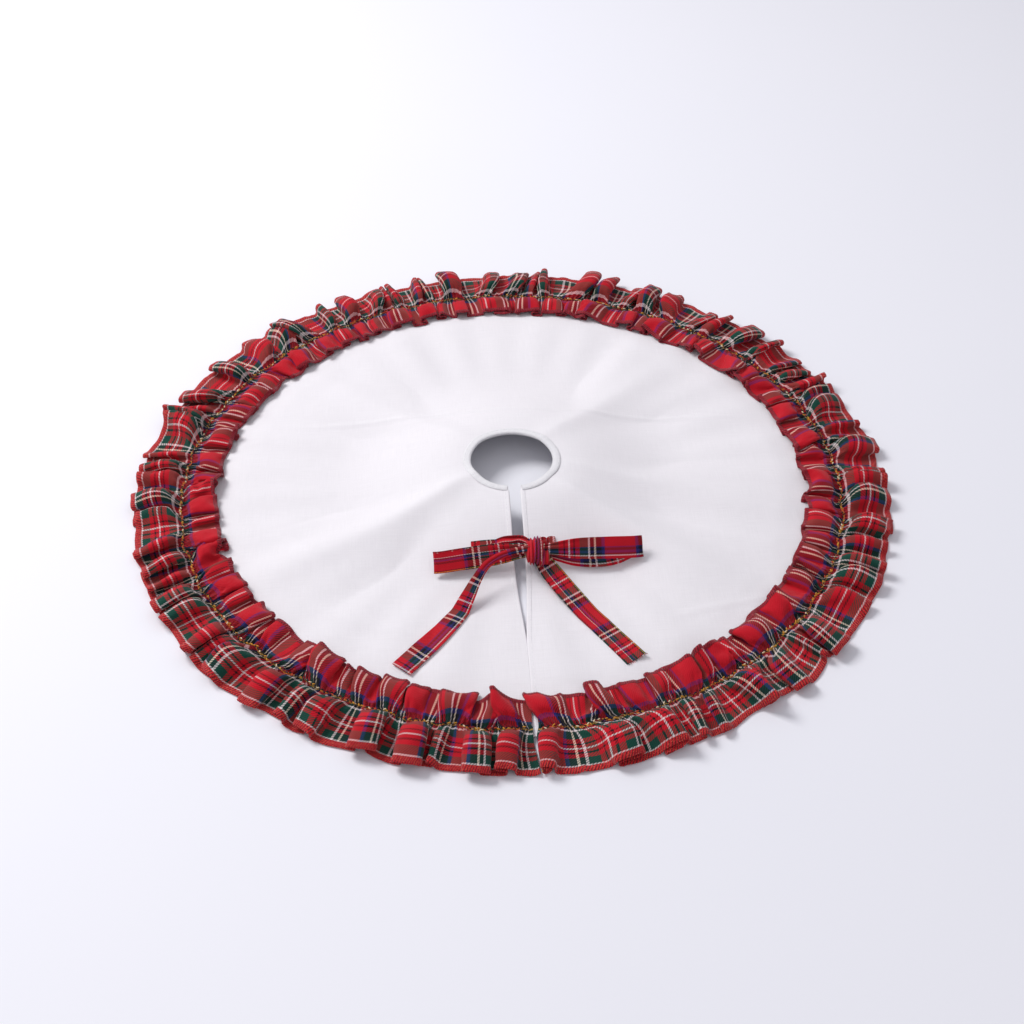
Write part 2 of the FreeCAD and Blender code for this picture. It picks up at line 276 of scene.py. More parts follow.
# The yarns across each of the two ties, from one edge to the other
TIE_A = [(BLACK, 4), (NAVY, 4), (BLACK, 3), (CREAM, 2), (RED, 19), (NAVY, 2)]
TIE_B = [(BLACK, 3), (RED, 10), (BLACK, 2), (GOLD, 1), (BLACK, 3), (RED, 8), (CREAM, 1), (BLACK, 2),
         (NAVY, 3), (RED, 1)]


def linear(colour):
    """An 8-bit display colour as linear light, with alpha."""
    channels = [c / 255 for c in colour]
    return [c / 12.92 if c <= 0.04045 else ((c + 0.055) / 1.055) ** 2.4 for c in channels] + [1.0]


class Shader:
    """A material's node tree, with short calls for the nodes used here."""

    def __init__(self, name, roughness=0.85, sheen=0.2):
        self.material = bpy.data.materials.new(name)
        self.material.use_nodes = True
        self.tree = self.material.node_tree
        self.surface = self.tree.nodes["Principled BSDF"]
        self.surface.inputs["Roughness"].default_value = roughness
        self.surface.inputs["Sheen Weight"].default_value = sheen
        self.surface.inputs["Sheen Roughness"].default_value = 0.5
        self.surface.inputs["Specular IOR Level"].default_value = 0.2

    def node(self, kind, **settings):
        node = self.tree.nodes.new(kind)
        for key, value in settings.items():
            setattr(node, key, value)
        return node

    def put(self, socket, value):
        if isinstance(value, bpy.types.NodeSocket):
            self.tree.links.new(value, socket)
        else:
            socket.default_value = value

    def math(self, operation, *values):
        node = self.node("ShaderNodeMath", operation=operation)
        for socket, value in zip(node.inputs, values):
            self.put(socket, value)
        return node.outputs[0]

    def mix(self, factor, a, b, blend="MIX"):
        node = self.node("ShaderNodeMix", data_type="RGBA", blend_type=blend)
        self.put(node.inputs[0], factor)
        self.put(node.inputs[6], a)
        self.put(node.inputs[7], b)
        return node.outputs[2]

    def cloth(self):
        """Along, across, the third cloth number, and the whole vector."""
        attribute = self.node("ShaderNodeAttribute", attribute_name="cloth")
        split = self.node("ShaderNodeSeparateXYZ")
        self.put(split.inputs[0], attribute.outputs["Vector"])
        return (*split.outputs, attribute.outputs["Vector"])

    def wave(self, position, period):
        """A sine between 0 and 1 along a cloth coordinate."""
        angle = self.math("MULTIPLY", position, TAU / period)
        return self.math("MULTIPLY_ADD", self.math("SINE", angle), 0.5, 0.5)

    def noise(self, vector, scale, detail=2.0, stretch=(1, 1, 1)):
        mapping = self.node("ShaderNodeMapping")
        mapping.inputs["Scale"].default_value = stretch
        self.put(mapping.inputs["Vector"], vector)
        texture = self.node("ShaderNodeTexNoise")
        texture.inputs["Scale"].default_value = scale
        texture.inputs["Detail"].default_value = detail
        self.put(texture.inputs["Vector"], mapping.outputs[0])
        return texture.outputs[0]

    def span(self, value, low, high):
        """A 0..1 value spread over low..high."""
        return self.math("MULTIPLY_ADD", value, high - low, low)

    def ramp(self, value, stops, mode="LINEAR"):
        node = self.node("ShaderNodeValToRGB")
        node.color_ramp.interpolation = mode
        elements = node.color_ramp.elements
        while len(elements) < len(stops):
            elements.new(1.0)
        for element, (place, colour) in zip(elements, stops):
            element.position = place
            element.color = colour
        self.put(node.inputs[0], value)
        return node.outputs[0]

    def raise_by(self, height, distance_mm):
        node = self.node("ShaderNodeBump")
        node.inputs["Strength"].default_value = 1.0
        node.inputs["Distance"].default_value = distance_mm * MM
        self.put(node.inputs["Height"], height)
        self.put(self.surface.inputs["Normal"], node.outputs[0])

    def colour(self, value):
        self.put(self.surface.inputs["Base Color"], value)


def yarn_colours(shader, place, yarns):
    """The colour of the yarn at a place from 0 to 1 over a list of yarns."""
    total = sum(count for _, count in yarns)
    stops = []
    passed = 0
    for colour, count in yarns:
        stops.append((passed / total, linear(colour)))
        passed += count
    return shader.ramp(place, stops, "CONSTANT")


def tartan(name, weft_yarns, weft_length, weft_offset, warp_offset=0.0):
    """Yarn-dyed tartan twill: two sets of coloured yarn that cross and mix, with a diagonal rib and fuzz."""
    shader = Shader(name, roughness=0.9, sheen=0.1)
    along, across, _, vector = shader.cloth()
    warp_place = shader.math("FRACT", shader.math("MULTIPLY_ADD", along, 1 / SETT_ALONG, warp_offset))
    weft_place = shader.math("FRACT", shader.math("MULTIPLY_ADD", across, 1 / weft_length, weft_offset))
    warp = yarn_colours(shader, warp_place, WARP)
    weft = yarn_colours(shader, weft_place, weft_yarns)
    rib = shader.wave(shader.math("ADD", along, across), 2.95)
    yarn = shader.math("MULTIPLY", shader.wave(along, 0.75), shader.wave(across, 0.75))
    fuzz = shader.noise(vector, 1.3, 3.0)
    over = shader.node("ShaderNodeClamp")
    shader.put(over.inputs[0], shader.span(rib, -0.25, 1.25))
    woven = shader.mix(shader.span(over.outputs[0], 0.2, 0.8), warp, weft)
    patches = shader.noise(vector, 0.05, 2.0)
    shade = shader.math("MULTIPLY", shader.span(fuzz, 0.64, 1.22), shader.span(patches, 0.82, 1.14))
    shader.colour(shader.mix(1.0, woven, shade, "MULTIPLY"))
    shader.put(shader.surface.inputs["Roughness"], shader.span(fuzz, 0.8, 1.0))
    height = shader.math("ADD", shader.math("MULTIPLY", rib, 0.6), shader.math("MULTIPLY", yarn, 0.4))
    shader.raise_by(shader.math("MULTIPLY_ADD", fuzz, 0.8, height), 0.35)
    return shader.material


def linen(name, colour, yarn=0.9):
    """White plain weave with uneven yarns in both directions."""
    shader = Shader(name, roughness=0.88, sheen=0.1)
    along, across, _, vector = shader.cloth()
    slub_along = shader.noise(vector, 1.0, 3.0, (0.03, 1.1, 1))
    slub_across = shader.noise(vector, 1.0, 3.0, (1.1, 0.03, 1))
    uneven = shader.noise(vector, 0.25, 4.0)
    wobble = shader.math("MULTIPLY", uneven, 0.5)
    weave = shader.math(
        "MULTIPLY",
        shader.wave(shader.math("ADD", along, wobble), yarn),
        shader.wave(shader.math("ADD", across, wobble), yarn),
    )
    slubs = shader.math("ADD", slub_along, slub_across)
    shade = shader.math("MULTIPLY_ADD", slubs, 0.10, 0.90)
    tone = shader.math("MULTIPLY", shade, shader.span(weave, 0.95, 1.02))
    shader.colour(shader.mix(1.0, linear(colour), tone, "MULTIPLY"))
    shader.put(shader.surface.inputs["Roughness"], shader.span(uneven, 0.78, 0.98))
    shader.raise_by(shader.math("MULTIPLY_ADD", slubs, 0.9, weave), 0.16)
    return shader.material


def overlock(name, dark, bright, fleck, period=2.5):
    """Close loops of edging thread, slanted across the edge. The dark colour is painted shade in the grooves
    between the loops; the bright one is the thread's own colour.
    """
    shader = Shader(name, roughness=0.7, sheen=0.2)
    along, across, _, vector = shader.cloth()
    slanted = shader.math("MULTIPLY_ADD", across, 0.35, along)
    loops = shader.wave(slanted, period)
    fibre = shader.noise(vector, 2.2, 3.0)
    patches = shader.noise(vector, 0.5, 2.0)
    flecks = shader.math("GREATER_THAN", shader.noise(vector, 0.8, 1.0), 0.6)
    # painted shade: the wave runs from the dark colour in the grooves between thread loops to the bright
    # thread colour on their crowns
    colours = shader.ramp(loops, [(0.0, linear(dark)), (0.6, linear(bright)), (1.0, linear(bright))])
    colours = shader.mix(shader.math("MULTIPLY", flecks, 0.6), colours, linear(fleck))
    shade = shader.math("MULTIPLY", shader.span(fibre, 0.65, 1.35), shader.span(patches, 0.75, 1.25))
    shader.colour(shader.mix(1.0, colours, shade, "MULTIPLY"))
    shader.put(shader.surface.inputs["Roughness"], shader.span(fibre, 0.6, 0.85))
    shader.raise_by(shader.math("MULTIPLY_ADD", fibre, 0.4, loops), 0.35)
    return shader.material


def thread(name, stops, roughness=0.65):
    """Twisted sewing thread; each stitch takes its colour from its own random number."""
    shader = Shader(name, roughness=roughness, sheen=0.15)
    _, _, own, _ = shader.cloth()
    place = shader.node("ShaderNodeNewGeometry").outputs["Position"]
    twist = shader.noise(place, 900.0, 2.0)
    colours = shader.ramp(own, stops, "CONSTANT")
    shader.colour(shader.mix(1.0, colours, shader.span(twist, 0.75, 1.25), "MULTIPLY"))
    shader.put(shader.surface.inputs["Roughness"], shader.span(twist, roughness - 0.1, roughness + 0.15))
    shader.raise_by(twist, 0.12)
    return shader.material


# ---------------------------------------------------------------- the lie of the cloth

# The legs of a tree stand lift the cloth in ridges: front angle in degrees, reach, height, half width
RIDGES = [(-60, 350, 36, 30), (50.5, 335, 35, 28), (80.5, 375, 25, 24), (-132, 300, 30, 28),
          (136, 310, 30, 28)]
# Creases left by folding: start, end, height, half width
CREASES = [((-330, 118), (345, 104), 1.3, 3.0), ((118, -345), (96, -205), 0.5, 3.5),
           ((150, -250), (300, -215), 0.7, 5.0), ((40, -262), (128, -246), 0.5, 3.0),
           ((-290, -60), (-180, -205), 0.9, 9.0), ((-250, -205), (-120, -262), 0.9, 10.0)]


def cloth_height(x, y):
    """Height of the lining's underside over the floor."""
    radius = np.hypot(x, y)
    high = TENT * smooth((TENT_FOOT - radius) / (TENT_FOOT - TENT_TOP)) ** 1.2
    total = high ** 4
    for degrees, reach, height, half_width in RIDGES:
        angle = math.radians(degrees)
        forward = x * math.sin(angle) - y * math.cos(angle)
        aside = x * math.cos(angle) + y * math.sin(angle)
        passed = np.clip((forward - HOLE) / (reach - HOLE), 0, 1)
        fall = (1 - passed) ** 1.15 * (0.72 + 0.28 * smooth((forward - HOLE) / 45))
        across = aside / (half_width + 0.12 * np.maximum(forward, 0))
        crest = np.clip(1.17 - np.sqrt(across ** 2 + 0.03), 0, 1)
        total = total + (height * fall * crest * (forward > 0)) ** 4
    z = total ** 0.25
    turn = np.arctan2(x, -y) / TAU
    rim = smooth((radius - 170) / 120) * (1 - 0.62 * smooth((radius - 322) / 34))
    z = z + rim * (2.6 + wander(21, (7, 11, 16, 23, 31), 2.6, turn))
    middle = smooth((radius - 90) / 80) * (1 - smooth((radius - 330) / 60))
    drift = np.sin(0.021 * x + 1.3) * np.sin(0.017 * y + 0.6) + 0.6 * np.sin(0.036 * x - 0.029 * y + 2.0)
    z = z + middle * (1.0 + 0.6 * drift)
    for start, end, height, half_width in CREASES:
        z = z + crease(x, y, start, end, height, half_width)
    return np.maximum(z, 0.0)


def crease(x, y, start, end, height, half_width):
    a, b = np.array(start, float), np.array(end, float)
    length = np.linalg.norm(b - a)
    along = ((x - a[0]) * (b[0] - a[0]) + (y - a[1]) * (b[1] - a[1])) / length
    aside = ((x - a[0]) * (b[1] - a[1]) - (y - a[1]) * (b[0] - a[0])) / length
    inside = smooth(along / (0.25 * length)) * smooth((length - along) / (0.25 * length))
    return height * inside * bump(aside / half_width)


def slit_half_gap(radius):
    """Half the width of the slit: open at the trunk, nearly closed at the rim."""
    return SLIT_CLOSED + SLIT_OPENING * (1 - smooth((radius - SLIT_OPEN_RADIUS) / SLIT_TAPER))


def half_disc(side, inner, outer, lift, step_along, step_across):
    """Half of a slit ring, from the slit round to the back, as a grid with cloth coordinates x and y."""
    radii = np.linspace(inner, outer, int((outer - inner) / step_across) + 1)
    count = int(math.pi * outer / step_along) + 1
    share = np.linspace(0, 1, count)[:, None]
    start = np.arcsin(slit_half_gap(radii) / radii)[None, :]
    angle = side * (start + (math.pi - start) * share)
    x = radii * np.sin(angle)
    y = -radii * np.cos(angle)
    grid = np.stack([x, y, cloth_height(x, y) + lift, x, y], -1)
    return grid if side > 0 else grid[::-1]


def fold_with_corner(piece):
    """Bakes the piece's placement into its mesh."""
    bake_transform(piece)


# ---------------------------------------------------------------- panel, lining, hems, binding

def make_disc(cloths):
    for side, name in ((-1, "left"), (1, "right")):
        panel = shell("panel_" + name, half_disc(side, HOLE + 1, PANEL_RADIUS, PANEL_LIFT, 5.0, 3.2),
                      CLOTH, cloths["linen"])
        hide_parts("panel_main", "panel_%s_corner" % name)
        lining = shell("lining_" + name, half_disc(side, HOLE + 1, PANEL_RADIUS - 1, LINING_LIFT, 7.0, 6.0),
                       LINING_THICK, cloths["lining"])
        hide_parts("lining_main", "lining_%s_corner" % name)
        hem = shell("outer_hem_" + name,
                    half_disc(side, PANEL_RADIUS - 12, PANEL_RADIUS, PANEL_LIFT + 0.85, 5.0, 3.0),
                    0.7, cloths["linen"])
        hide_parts("outer_hem_main", "outer_hem_%s_corner" % name)
        for piece, slot in ((panel, "panel_cloth"), (lining, "lining_cloth"), (hem, "panel_hem")):
            fold_with_corner(piece)


def make_slit_hem(side, name, cloths):
    """The turned edge beside the slit: a soft fold over the edge, and its row of stitches."""
    radii = np.arange(HOLE + 8.5, PANEL_RADIUS - 0.5, 2.5)
    edge = slit_half_gap(radii)
    along = radii - radii[0]
    profile = [(-0.75, -1.0), (-1.05, -0.2), (-0.75, 0.6), (0.1, 0.95), (1.4, 0.9), (HEM_WIDTH - 1.8, 0.72),
               (HEM_WIDTH - 0.3, 0.52), (HEM_WIDTH, 0.3), (HEM_WIDTH - 0.3, -0.2), (0.6, -1.0)]
    rings = []
    cloth = []
    for inset, lift in profile:
        x = side * (edge + inset)
        y = -np.sqrt(np.maximum(radii ** 2 - x ** 2, 0))
        ripple = 0.12 * np.sin(along * TAU / 9.0) * (lift > 1)
        rings.append(np.stack([x, y, cloth_height(x, y) + PANEL_LIFT + lift + ripple], -1))
        cloth.append(np.stack([x, y, np.zeros_like(x)], -1))
    rings = np.stack(rings, 1)
    cloth = np.stack(cloth, 1)
    if side > 0:
        rings, cloth = rings[:, ::-1], cloth[:, ::-1]
    hem = tube("slit_hem_" + name, rings, cloth, cloths["linen"], 70)
    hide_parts("slit_hem_%s_upper" % name, "slit_hem_%s_lower" % name)
    fold_with_corner(hem)

    places = np.arange(HOLE + 12, INNER - 4, SEWING_GAP)
    x = side * (slit_half_gap(places) + HEM_WIDTH - 1.3)
    y = -np.sqrt(places ** 2 - x ** 2)
    centres = np.stack([x, y, cloth_height(x, y) + PANEL_LIFT + 0.72], -1)
    directions = np.gradient(centres, axis=0)
    sewing = stitches("slit_hem_stitches_" + name, centres, directions, upright(len(centres)), 2.3, 0.26,
                      cloths["white_thread"])
    fold_with_corner(sewing)


def make_binding(cloths):
    """The tape folded over the edge of the trunk opening, and its stitches."""
    gap = slit_half_gap(HOLE) + 0.5
    start = math.asin(gap / HOLE)
    angle = np.linspace(start, TAU - start, 181)
    base = cloth_height(HOLE * np.sin(angle), -HOLE * np.cos(angle))
    profile = [(9.2, -0.2), (8.8, -0.7), (2.0, -0.9), (0.3, -0.6), (-0.5, 0.6), (-0.5, 1.6), (0.3, 2.7),
               (2.0, 3.15), (8.8, 3.0), (9.3, 2.5), (9.0, 2.0), (2.2, 2.2), (1.0, 1.6), (1.0, 0.6),
               (2.2, 0.1)]
    rings, cloth = [], []
    for k, (out, lift) in enumerate(profile):
        pucker = 0.18 * np.sin(angle * 46) * (lift > 2)
        radius = HOLE + out
        rings.append(np.stack([radius * np.sin(angle), -radius * np.cos(angle), base + lift + pucker], -1))
        cloth.append(np.stack([angle * HOLE, np.full_like(angle, k * 3.0), np.zeros_like(angle)], -1))
    rings, cloth = np.stack(rings, 1)[:, ::-1], np.stack(cloth, 1)[:, ::-1]
    binding = tube("trunk_binding", rings, cloth, cloths["binding"], 60)
    attach(binding, "skirt", "panel_hem", "trunk_binding")

    turn = np.arange(start + 0.05, TAU - start - 0.05, 3.2 / (HOLE + 7))
    out = HOLE + 7
    x, y = out * np.sin(turn), -out * np.cos(turn)
    height = cloth_height(HOLE * np.sin(turn), -HOLE * np.cos(turn)) + 3.1
    centres = np.stack([x, y, height], -1)
    directions = np.stack([np.cos(turn), np.sin(turn), np.zeros_like(turn)], -1)
    sewing = stitches("trunk_binding_stitches", centres, directions, upright(len(turn)), 2.4, 0.26,
                      cloths["white_thread"])
    attach(sewing, "skirt", "panel_hem")


# ---------------------------------------------------------------- ruffle

FULLNESS = 2.3                             # length of the ruffle's strip over the length it is gathered to
STRIP_STEP = 4.8                           # spacing of the strip's coarse grid along the cloth
ACROSS = np.array([-44, -39, -33, -27, -21, -15.5, -10.5, -6, -2.5, 0,
                   2.5, 6, 10.5, 15.5, 21, 27, 33, 39, 45, 51, 58.0])
ACROSS_IN, ACROSS_OUT = ACROSS[0], ACROSS[-1]
SLIT_START = math.asin((HEM[0][0] + 0.6) / GATHER)
SPAN = TAU - 2 * SLIT_START
STRIP_LENGTH = SPAN * GATHER * FULLNESS
STRIP_CUTS = {"right": (0.0, 110 / 360), "back": (110 / 360, 250 / 360), "left": (250 / 360, 1.0)}
PHASE = np.linspace(0, 1, 721)
INNER_PUFF, OUTER_PUFF = 0.6, 0.95         # how high the folds stand, against folds of true cloth length
GATHER_REACH, GATHER_FADE = 15.0, 1.6      # how far the gathering holds the strip in, and how it lets go
SEAM_LEVEL = 4.9                           # height of the gathered seam


class Folds:
    """Random folds along the strip. top_share is how much wider a fold's top is than the crease beside it."""

    def __init__(self, seed, mean, spread, top_share, lean):
        random = np.random.default_rng(seed)
        lengths = mean * np.exp(spread * random.standard_normal(int(STRIP_LENGTH / mean)))
        lengths = np.clip(lengths, 0.45 * mean, 1.5 * mean)
        self.lengths = lengths * STRIP_LENGTH / lengths.sum()
        self.borders = np.concatenate([[0], np.cumsum(self.lengths)])
        self.leans = random.uniform(-lean, lean, len(lengths))
        self.warped = PHASE + top_share * np.sin(TAU * PHASE) / TAU
        self.tries = np.linspace(0, 2.2, 111)
        self.shares = np.array([self.outline(steepness)[0][-1] for steepness in self.tries])

    def outline(self, steepness):
        """One fold by phase: distance along the base and height, for a cloth length of 1."""
        slope = steepness * np.sin(TAU * self.warped)
        step = 1 / (len(PHASE) - 1)
        forward = np.concatenate([[0], np.cumsum((np.cos(slope[1:]) + np.cos(slope[:-1])) / 2 * step)])
        upward = np.concatenate([[0], np.cumsum((np.sin(slope[1:]) + np.sin(slope[:-1])) / 2 * step)])
        return forward, upward

    def covering(self, share):
        """The outline of a fold that covers this share of its cloth length."""
        return self.outline(np.interp(share, self.shares[::-1], self.tries[::-1]))


def gathered_strip():
    """The strip as it is before it settles: leaning folds of true cloth length, flat along the gathering."""
    along = np.linspace(0, STRIP_LENGTH, int(STRIP_LENGTH / STRIP_STEP) + 1)
    share = along / STRIP_LENGTH
    sway = wander(5, (31, 43, 57, 71), 3.0, share)
    sway_in = wander(6, (37, 52, 64, 83), 4.0, share)
    sway_out = wander(8, (35, 49, 66, 91), 4.0, share)
    inner_folds = Folds(3, 76.0, 0.34, 0.5, 1.2)
    outer_folds = Folds(11, 72.0, 0.42, 0.2, 0.9)
    rows = []
    for across in ACROSS:
        kept = 1 - (1 - 1.04 / FULLNESS) * math.exp(-(abs(across) / GATHER_REACH) ** GATHER_FADE)
        radius = GATHER + across * 0.97
        folds = inner_folds if across < 0 else outer_folds
        k = np.clip(np.searchsorted(folds.borders, along, side="right") - 1, 0, len(folds.lengths) - 1)
        phase = (along - folds.borders[k]) / folds.lengths[k]
        forward, upward = folds.covering(min(0.985, SPAN * radius / (STRIP_LENGTH * kept)))
        puff = INNER_PUFF if across < 0 else OUTER_PUFF
        height = puff * np.interp(phase, PHASE, upward) * folds.lengths[k] * kept
        place = folds.borders[k] + np.interp(phase, PHASE, forward / forward[-1]) * folds.lengths[k]
        angle = SLIT_START + SPAN * place / STRIP_LENGTH + folds.leans[k] * height / radius
        edge = sway_in * (across / ACROSS_IN) ** 2 if across < 0 else sway_out * (across / ACROSS_OUT) ** 2
        out = radius + sway + edge
        level = 4.2 - 3.0 * max(0.0, across - 10) / (ACROSS_OUT - 10)
        rows.append(np.stack([out * np.sin(angle), -out * np.cos(angle), level + height,
                              along, np.full_like(along, across)], -1))
    return np.stack(rows, 1)


def collision_disc(name, radius, height):
    corners = 128
    points = [(0, 0, height)]
    points += [(radius * math.cos(TAU * k / corners), radius * math.sin(TAU * k / corners), height)
               for k in range(corners)]
    faces = [(0, k + 1, (k + 1) % corners + 1) for k in range(corners)]
    mesh = bpy.data.meshes.new(name)
    mesh.from_pydata(points, [], faces)
    disc = bpy.data.objects.new(name, mesh)
    bpy.context.scene.collection.objects.link(disc)
    disc.modifiers.new("collision", "COLLISION")
    disc.collision.thickness_outer = 0.01
    disc.collision.cloth_friction = 20
    return disc


def settle(grid, frames=18):
    """Lets the strip fall under its own weight with its gathered line held, and returns where it settles.
    The solver is steadier on large cloth, so it works ten times larger."""
    large = 10.0
    mesh = bpy.data.meshes.new("settling")
    mesh.from_pydata((grid[..., :3].reshape(-1, 3) * MM * large).tolist(), [],
                     grid_faces(*grid.shape[:2]).tolist())
    cloth = bpy.data.objects.new("settling", mesh)
    bpy.context.scene.collection.objects.link(cloth)
    held = cloth.vertex_groups.new(name="held")
    index = np.arange(grid.shape[0] * grid.shape[1]).reshape(grid.shape[:2])
    gathered = int(np.argmin(np.abs(ACROSS)))
    for step, weight in ((0, 1.0), (-1, 0.4), (1, 0.4)):
        held.add(index[:, gathered + step].tolist(), weight, "REPLACE")
    discs = [collision_disc("settling_floor", 6.0, 0.0),
             collision_disc("settling_panel", PANEL_RADIUS * MM * large, 3.2 * MM * large)]
    modifier = cloth.modifiers.new("Cloth", "CLOTH")
    settings = modifier.settings
    settings.quality = 6
    settings.mass = 0.15
    settings.air_damping = 3
    settings.tension_stiffness = settings.compression_stiffness = 25
    settings.shear_stiffness = 8
    settings.bending_model = "ANGULAR"
    settings.bending_stiffness = 1.5
    settings.bending_damping = 1.0
    settings.vertex_group_mass = "held"
    contact = modifier.collision_settings
    contact.distance_min = 0.008
    contact.collision_quality = 3
    contact.use_self_collision = True
    contact.self_distance_min = 0.012
    contact.self_friction = 15
    scene = bpy.context.scene
    for number in range(1, frames + 1):
        scene.frame_set(number)
    settled = cloth.evaluated_get(bpy.context.evaluated_depsgraph_get()).to_mesh()
    points = np.zeros(len(settled.vertices) * 3)
    settled.vertices.foreach_get("co", points)
    result = grid.copy()
    result[..., :3] = points.reshape(grid.shape[:2] + (3,)) / MM / large
    for thing in [cloth] + discs:
        bpy.data.objects.remove(thing)
    scene.frame_set(1)
    return result


def crimp(grid):
    """Small tight gathers beside the gathered line, which lies low in its seam."""
    along, across = grid[..., 3], grid[..., 4]
    drift = wander(14, (150, 211, 307), 0.35, along / STRIP_LENGTH)
    seam = 0.75 * bump(across / 5.5)
    crimped = grid.copy()
    crimped[..., 2] += (SEAM_LEVEL - grid[..., 2]) * seam
    crimped[..., 2] += 1.0 * bump(across / 10.0) * np.sin(TAU * (along / 9.6 + drift))
    return crimped


def edging(name, grid, edge, width, material, thickness, period, step=0.8):
    """Overlocked thread wrapped round one long edge of a fine grid, in small beads."""
    if edge == "outer":
        grid = grid[:, ::-1]
    distance = np.abs(grid[0, :, 4] - grid[0, 0, 4])
    lines = []
    for target in (0.0, width / 2, width):
        k = int(np.clip(np.searchsorted(distance, target) - 1, 0, len(distance) - 2))
        share = (target - distance[k]) / (distance[k + 1] - distance[k])
        lines.append(grid[:, k] * (1 - share) + grid[:, k + 1] * share)
    factor = max(1, int(round((grid[1, 0, 3] - grid[0, 0, 3]) / step)))
    strip = refine(np.stack(lines, 1), factor, 0)
    up = normals(strip)
    outward = unit(strip[:, 0, :3] - strip[:, 1, :3])
    along = strip[:, 0, 3]
    bead = np.abs(np.sin(along * math.pi / period))
    half = (thickness / 2) * (0.62 + 0.38 * bead)[:, None]
    reach = (0.5 + 0.5 * bead)[:, None]
    edge_line, middle, inner = strip[:, 0, :3], strip[:, 1, :3], strip[:, 2, :3]
    inward = up[:, 2] * (thickness * 0.34)
    outline = [
        (inner + inward, width), (middle + up[:, 1] * half, width / 2), (edge_line + up[:, 0] * half, 0.0),
        (edge_line + outward * reach, -1.0), (edge_line - up[:, 0] * half, -2.0),
        (middle - up[:, 1] * half, -width / 2 - 2), (inner - inward, -width - 2),
    ]
    rings = np.stack([points for points, _ in outline], 1)
    cloth = np.stack([np.stack([along, np.full_like(along, across), np.zeros_like(along)], -1)
                      for _, across in outline], 1)
    if edge == "outer":
        rings, cloth = rings[:, ::-1], cloth[:, ::-1]
    return tube(name, rings, cloth, material, 75)


def make_ruffle(cloths):
    strip = gathered_strip()
    strip = settle(strip)
    fine = crimp(refine(refine(strip, 2, 1), 2, 0))
    fine[..., 2] = np.maximum(fine[..., 2], CLOTH / 2 + 0.3)
    fine[..., :3] += normals(fine) * 0.25 * np.sin(fine[..., 3:4] * 0.37) * np.sin(fine[..., 4:5] * 0.29)
    share = fine[:, 0, 3] / STRIP_LENGTH
    stand_ins = {
        "right": ("ruffle_right", "ruffle_front_right"),
        "back": ("ruffle_back",),
        "left": ("ruffle_left", "ruffle_front_left"),
    }
    for name, (low, high) in STRIP_CUTS.items():
        first, last = np.searchsorted(share, (low, high))
        part = fine[first:last + 1]
        ruffle = shell("ruffle_" + name, part, CLOTH, cloths["ruffle"])
        outer = edging("overlock_outer_" + name, part, "outer", OUTER_BAND, cloths["outer_overlock"],
                       thickness=2.1, period=2.5)
        inner = edging("overlock_inner_" + name, part, "inner", INNER_BAND, cloths["inner_overlock"],
                       thickness=2.2, period=3.1)
        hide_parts(*stand_ins[name])
        for edge, piece in (("outer", outer), ("inner", inner)):
            nodes = ["overlock_%s_main" % edge]
            if name != "back":
                nodes.append("overlock_%s_front_%s" % (edge, name))
            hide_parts(*nodes)
        gather = make_gather_stitches(name, part, cloths)
        for piece in (ruffle, outer, inner, gather):
            if name == "back":
                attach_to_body(piece, "skirt")
            else:
                fold_with_corner(piece)


def make_gather_stitches(name, part, cloths):
    """Short stitches that zigzag along the gathered line."""
    across = np.abs(part[0, :, 4])
    line = part[:, int(np.argmin(across))]
    spacing = 3.0 * FULLNESS
    at = np.arange(line[0, 3] + spacing, line[-1, 3] - spacing, spacing)
    centres = np.stack([np.interp(at, line[:, 3], line[:, k]) for k in range(3)], -1)
    directions = np.gradient(centres, axis=0)
    outward = unit(centres * [1, 1, 0])
    flip = np.where(np.arange(len(at)) % 2 == 0, 1.0, -1.0)[:, None]
    random = np.random.default_rng(17 + len(at))
    slant = unit(directions) + outward * (0.55 * flip + 0.35 * random.standard_normal((len(at), 1)))
    centres = centres + outward * 0.7 * flip
    centres[:, 2] += 1.7 + 0.5 * random.random(len(at))
    sewing = stitches("gather_stitch_" + name, centres, slant, upright(len(at)), 3.5, 0.75,
                      cloths["gather_thread"], len(at))
    nodes = ["gather_stitch_main"]
    if name != "back":
        nodes.append("gather_stitch_%s_corner" % name)
    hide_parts(*nodes)
    return sewing


# ---------------------------------------------------------------- bow

LOOP_GAP, TAIL_GAP = 1.0, 0.8              # room between a ribbon's middle plane and the panel below it


def ribbon_grid(stations, start_along=0.0, flip=1, step=1.6, count=17):
    """A ribbon through stations of (x, y, z, side x, side y, side z, width share, ripple).
    side points across the ribbon, ripple is the height of lengthwise folds where it is pinched, and flip -1
    turns its woven pattern round."""
    rows, at = resample(stations, step)
    centre = rows[:, :3]
    forward = unit(np.gradient(centre, axis=0))
    side = rows[:, 3:6]
    side = unit(side - forward * np.sum(side * forward, -1, keepdims=True))
    face = np.cross(side, forward)
    share, ripple = rows[:, 6:7], rows[:, 7:8]
    t = np.linspace(-1, 1, count)[None, :]
    aside = RIBBON / 2 * share * t
    folds = ripple * np.cos(2.5 * math.pi * t + 0.4)
    curl = 0.5 * (1 - t * t) * np.sin(at[:, None] * 0.045)
    points = (centre[:, None] + side[:, None] * aside[..., None]
              + face[:, None] * (folds + curl)[..., None])
    along = np.broadcast_to((at + start_along)[:, None], aside.shape)
    across = np.broadcast_to((flip * t + 1) * RIBBON / 2, aside.shape)
    return np.concatenate([points, along[..., None], across[..., None]], -1)


def swing_angles(body):
    """A few angles over the range of the joint that swings a part of the bow, in radians."""
    low, high = np.radians(joint(body + "_swing")["range_deg"])
    return np.linspace(low, high, 7)


